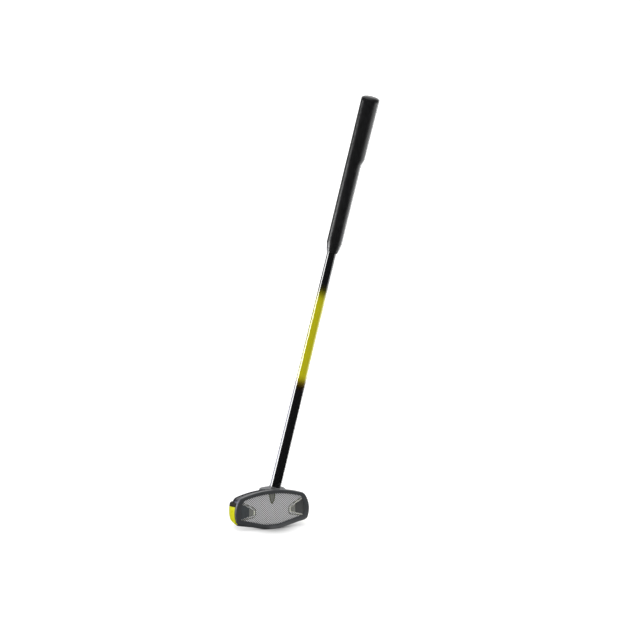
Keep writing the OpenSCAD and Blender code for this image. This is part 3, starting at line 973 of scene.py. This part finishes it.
def grip_ring(s, place, shrink=1.0):
    """The grip's section at distance s, put at place along the axis. It bulges to the heel."""
    f = (s - GRIP_FOOT) / (CLUB_TOP - GRIP_FOOT)
    full = GRIP_LOW_R + (GRIP_HIGH_R - GRIP_LOW_R) * f
    t = min(1, (s - GRIP_FOOT) / GRIP_BEVEL)
    foot_r = GRIP_BORE_R + 0.6
    r = foot_r + (full - foot_r) * t ** 0.75
    grow = smooth((s - SWELL_START + SWELL_BLEND) / SWELL_BLEND)
    w = grow * (SWELL_OUT - 1 + max(0, s - SWELL_START) / (CLUB_TOP - SWELL_START))
    return [on_axis(w / 2 + (r + w / 2) * x, r * y, place)
            for x, y in circle(shrink, GRIP_STEPS)]


def grip():
    """The rubber grip: a bevelled foot, a long taper and a palm swell on the heel side."""
    places = [GRIP_FOOT + GRIP_BEVEL * (i / 12) ** 1.6 for i in range(13)]
    taper_foot = GRIP_FOOT + GRIP_BEVEL
    places += [taper_foot + (GRIP_TOP - 1 - taper_foot) * i / 110 for i in range(1, 111)]
    rows = [grip_ring(s, s) for s in places]
    end = GRIP_TOP - 0.4
    rows += [grip_ring(GRIP_TOP, GRIP_TOP - 0.6, RIM), grip_ring(GRIP_TOP, end, GROOVE)]
    rows += [round_row(GRIP_BORE_R + 0.1, s, GRIP_STEPS) for s in (end, GRIP_FOOT)]
    piece("grip_sleeve", loft(rows, wrap_row=True, wrap_all=True),
          grip_rubber("grip_leather_grain", 0.33), "grip_rubber", "grip")


def grip_cap():
    """The domed end cap, with a fine groove under it and a vent in its middle."""
    stem_r, stem_long, plug_r, under, dome_in = 4, 14, 9.2, 0.3, 0.62
    rows = [round_row(r, s, GRIP_STEPS)
            for r, s in ((stem_r, SHAFT_END - stem_long), (stem_r, SHAFT_END), (plug_r, SHAFT_END),
                         (plug_r, GRIP_TOP - under))]
    rows += [grip_ring(GRIP_TOP, GRIP_TOP - under, GROOVE),
             grip_ring(GRIP_TOP, GRIP_TOP + 0.05, RIM)]
    foot = GRIP_TOP + under
    rows += [grip_ring(GRIP_TOP, foot + (CLUB_TOP - foot) * up, 1 - dome_in * (1 - outwards))
             for outwards, up in arc((0, 0), 1, 0, 90, 16)]
    rows += [round_row(r, CLUB_TOP - deep, GRIP_STEPS, SWELL_OUT / 2)
             for r, deep in ((2.0, 0), (1.7, 0.15), (1.5, 0.6), (1.5, 2))]
    piece("grip_cap_dome", loft(rows, wrap_row=True, cap_rows=True),
          grip_rubber("cap_rubber_satin", 0.42), "cap_rubber", "grip_cap")


# --- CAD nodes that stay as they are ---

def paint_cad():
    """Procedural materials for the CAD nodes that no piece replaces."""
    hidden = {
        "head_core": maple_wood("core_maple"), "face_cushion": cushion_foam(),
        "face_mesh": woven_sheet(), "sole_screws": steel("screw_steel", 0.22),
        "toe_weight": steel("weight_steel", 0.34), "shaft_pin": steel("pin_steel", 0.28),
        "grip_tape": cloth_tape(), "shaft_plug": maple_wood("plug_maple")}
    hidden["heel_weight"], hidden["butt_plug"] = hidden["toe_weight"], hidden["shaft_plug"]
    for name, mat in hidden.items():
        obj = CAD[name]
        if not obj.material_slots:
            obj.data.materials.append(mat)
        for held in obj.material_slots:
            held.material = mat


# --- camera, floor and lights ---

AZIMUTH, ELEVATION = math.radians(-20), math.radians(14.886)     # the camera's direction
RIGHT = Vector((math.cos(AZIMUTH), math.sin(AZIMUTH), 0))
BACK = Vector((math.sin(AZIMUTH) * math.cos(ELEVATION), -math.cos(AZIMUTH) * math.cos(ELEVATION),
               math.sin(ELEVATION)))
UP = BACK.cross(RIGHT)
VIEW_WIDTH = 1.2638              # metres across the picture at the object
AIM_RIGHT, AIM_UP = 0.1062, 0.4242
CLUB_MIDDLE = Vector((0.10, 0, 0.42))
WHITE = (1, 1, 1)


def add_camera():
    """A long lens from far away, so that the view is nearly parallel."""
    data = bpy.data.cameras.new("camera")
    data.lens, data.sensor_width = 1000, 36
    far = VIEW_WIDTH * data.lens / data.sensor_width
    data.clip_start, data.clip_end = 1, 200
    cam = bpy.data.objects.new("camera", data)
    cam.location = RIGHT * AIM_RIGHT + UP * AIM_UP + BACK * far
    cam.rotation_mode = "QUATERNION"
    cam.rotation_quaternion = (-BACK).to_track_quat("-Z", "Y")
    bpy.context.scene.collection.objects.link(cam)
    bpy.context.scene.camera = cam


def add_floor():
    """A wide floor that no glossy surface mirrors."""
    mesh = bpy.data.meshes.new("floor")
    r = 60                       # metres from its middle to its edges
    mesh.from_pydata([(-r, -r, 0), (r, -r, 0), (r, r, 0), (-r, r, 0)], [], [(0, 1, 2, 3)])
    mesh.materials.append(floor_card())
    floor = bpy.data.objects.new("floor", mesh)
    floor.visible_glossy = False
    bpy.context.scene.collection.objects.link(floor)


def add_light(data, name, place, facing):
    """A light that the camera doesn't see."""
    light = bpy.data.objects.new(name, data)
    light.location = place
    light.rotation_mode = "QUATERNION"
    light.rotation_quaternion = facing.to_track_quat("-Z", "Y")
    light.visible_camera = False
    bpy.context.scene.collection.objects.link(light)
    return light


def soft_sun(name, energy, spread, facing):
    """A wide sun, spread in degrees, that shows in no glossy surface."""
    data = bpy.data.lights.new(name, "SUN")
    data.energy, data.angle = energy, math.radians(spread)
    light = add_light(data, name, CLUB_MIDDLE - 2 * facing, facing)
    light.visible_glossy = False


def panel_light(name, place, facing, width, height, radiance, colour=WHITE):
    """A soft panel that shows only in glossy surfaces."""
    data = bpy.data.lights.new(name, "AREA")
    data.shape, data.size, data.size_y = "RECTANGLE", width, height
    data.energy, data.color = radiance * math.pi * width * height, colour
    light = add_light(data, name, place, facing)
    light.visible_diffuse = False


def aimed_panel(name, azimuth, elevation, far, width, height, radiance):
    """A soft panel aimed at the club, placed by its direction from the club's middle."""
    a, e = math.radians(azimuth), math.radians(elevation)
    out = Vector((math.sin(a) * math.cos(e), -math.cos(a) * math.cos(e), math.sin(e)))
    panel_light(name, CLUB_MIDDLE + out * far, -out, width, height, radiance)


def add_world():
    """Plain white surroundings, brighter behind the club than in front of it."""
    world = bpy.data.worlds.new("studio")
    world.use_nodes = True
    nodes, links = world.node_tree.nodes, world.node_tree.links
    way = nodes.new("ShaderNodeSeparateXYZ")
    links.new(nodes.new("ShaderNodeTexCoord").outputs["Generated"], way.inputs[0])
    level = nodes.new("ShaderNodeMapRange")
    for key, value in (("From Min", -1), ("From Max", 1), ("To Min", 0.25), ("To Max", 1.25)):
        level.inputs[key].default_value = value
    links.new(way.outputs["Y"], level.inputs["Value"])
    links.new(level.outputs[0], nodes["Background"].inputs[1])
    nodes["Background"].inputs[0].default_value = (1, 1, 1, 1)
    world.cycles_visibility.glossy = False
    bpy.context.scene.world = world


def add_lights():
    """Two soft suns for matt surfaces, and panels that draw the highlights."""
    soft_sun("overhead", 2.4, 70, Vector((0.2059, 0.1392, -0.9686)))
    soft_sun("side_fill", 1.3, 50, Vector((-0.96, 0.08, -0.25)))
    aimed_panel("strip_left", -115, -17, 2.2, 1.0, 2.0, 12.5)
    aimed_panel("strip_right", 118, -4, 2.4, 0.35, 3.0, 7)
    panel_light("right_card", Vector((0.75, 0.12, 0.36)), Vector((-1, 0, 0)), 1.15, 0.75, 2.2)
    aimed_panel("backdrop", 160, 22, 3.0, 5.0, 1.6, 1.9)
    panel_light("backdrop_left", Vector((-0.48, 0.78, 0.17)), Vector((0.46, -0.89, 0)), 0.22, 0.30,
                6.0, (0.78, 0.78, 1.0))
    aimed_panel("backdrop_high", 150, 50, 2.6, 3.0, 1.2, 1.0)
    panel_light("overhead_soft", Vector((0.1, -0.2, 2.4)), Vector((0, 0, -1)), 2.0, 2.0, 1.2)
    panel_light("floor_front", Vector((0.075, -0.058, 0.001)), Vector((0, 0, 1)), 0.16, 0.045,
                1.5)
    add_world()
    bpy.context.scene.view_settings.view_transform = "Standard"


add_camera()
add_floor()
add_lights()
face_frame()
face_plate()
end_panels()
face_marks()
crown_cover()
bumper()
back_cover()
sole_moulding = sole_plastic()
sole_plate(sole_moulding)
sole_runner(sole_moulding)
hosel_collar()
hosel_ferrule()
shaft_tube()
grip()
grip_cap()
paint_cad()
